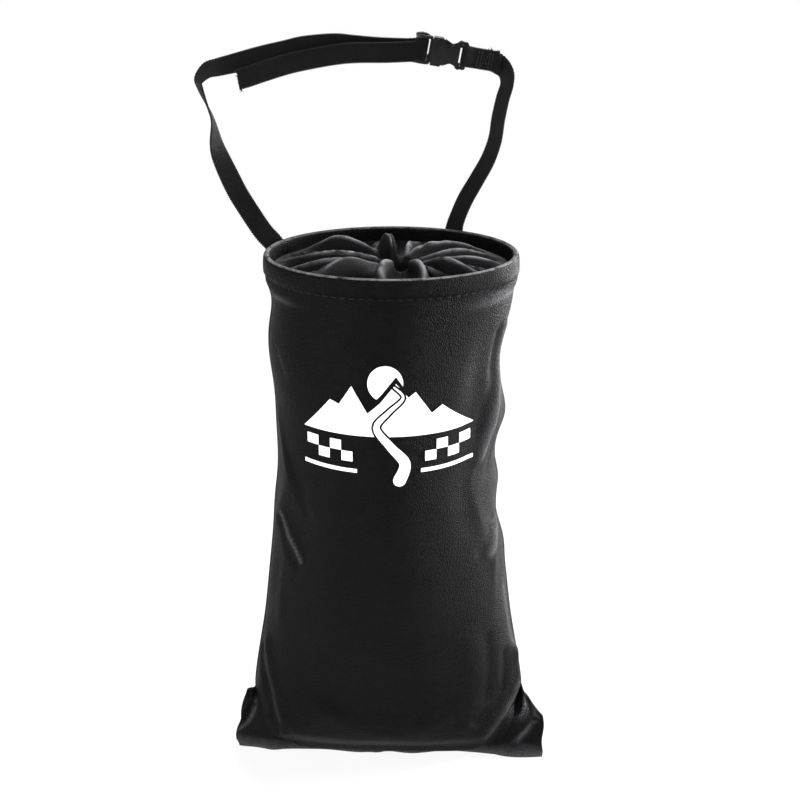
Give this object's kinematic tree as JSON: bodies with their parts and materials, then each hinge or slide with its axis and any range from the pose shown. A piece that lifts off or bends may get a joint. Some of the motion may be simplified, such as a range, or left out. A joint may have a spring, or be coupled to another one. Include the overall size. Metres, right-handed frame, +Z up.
{
  "type": "car trash bin",
  "caption": "Soft leather litter bag with a hooped oval mouth, a gathered push-through closure and a webbing loop with a side-release buckle, for hanging in a car.",
  "frame": {"origin": "on the floor plane under the middle of the mouth, in the base's flat underside", "axes": "+Z up from the base to the mouth, the printed front faces -Y, +X to the right seen from the front"},
  "size_m": [0.2108, 0.1268, 0.4469],
  "materials": {
    "leather": "fine pebbled grain, soft sheen",
    "closure": "thin, smooth, soft sheen",
    "hoop": "flat spring strip",
    "elastic": "matte",
    "print": "printed film, white",
    "webbing": "plain woven webbing",
    "buckle": "moulded, semi-gloss"
  },
  "bodies": {
    "bag": {"bag_body": "leather", "mouth_hoop": "hoop", "closure_collar": "closure", "closure_elastic": "elastic", "front_print": "print", "long_strap": "webbing", "short_strap": "webbing", "buckle_socket": "buckle"},
    "plug": {"buckle_plug": "buckle"},
    "upper_arm": {"upper_latch": "buckle"},
    "lower_arm": {"lower_latch": "buckle"}
  },
  "joints": [
    {"name": "plug_release", "type": "slide", "parent": "bag", "child": "plug", "axis": [-0.9848, 0, 0.1736], "range_m": [0, 0.02], "deforming": ["long_strap", "upper_latch", "lower_latch"]},
    {"name": "upper_latch_press", "type": "hinge", "parent": "plug", "child": "upper_arm", "pos_m": [0.02615, 0.046, 0.44116], "axis": [0, 1, 0], "range_deg": [0, 10], "stiffness_Nm_per_rad": 0.25, "deforming": ["upper_latch"]},
    {"name": "lower_latch_press", "type": "hinge", "parent": "plug", "child": "lower_arm", "pos_m": [0.02458, 0.046, 0.4323], "axis": [0, -1, 0], "range_deg": [0, 10], "stiffness_Nm_per_rad": 0.25, "deforming": ["lower_latch"]}
  ]
}
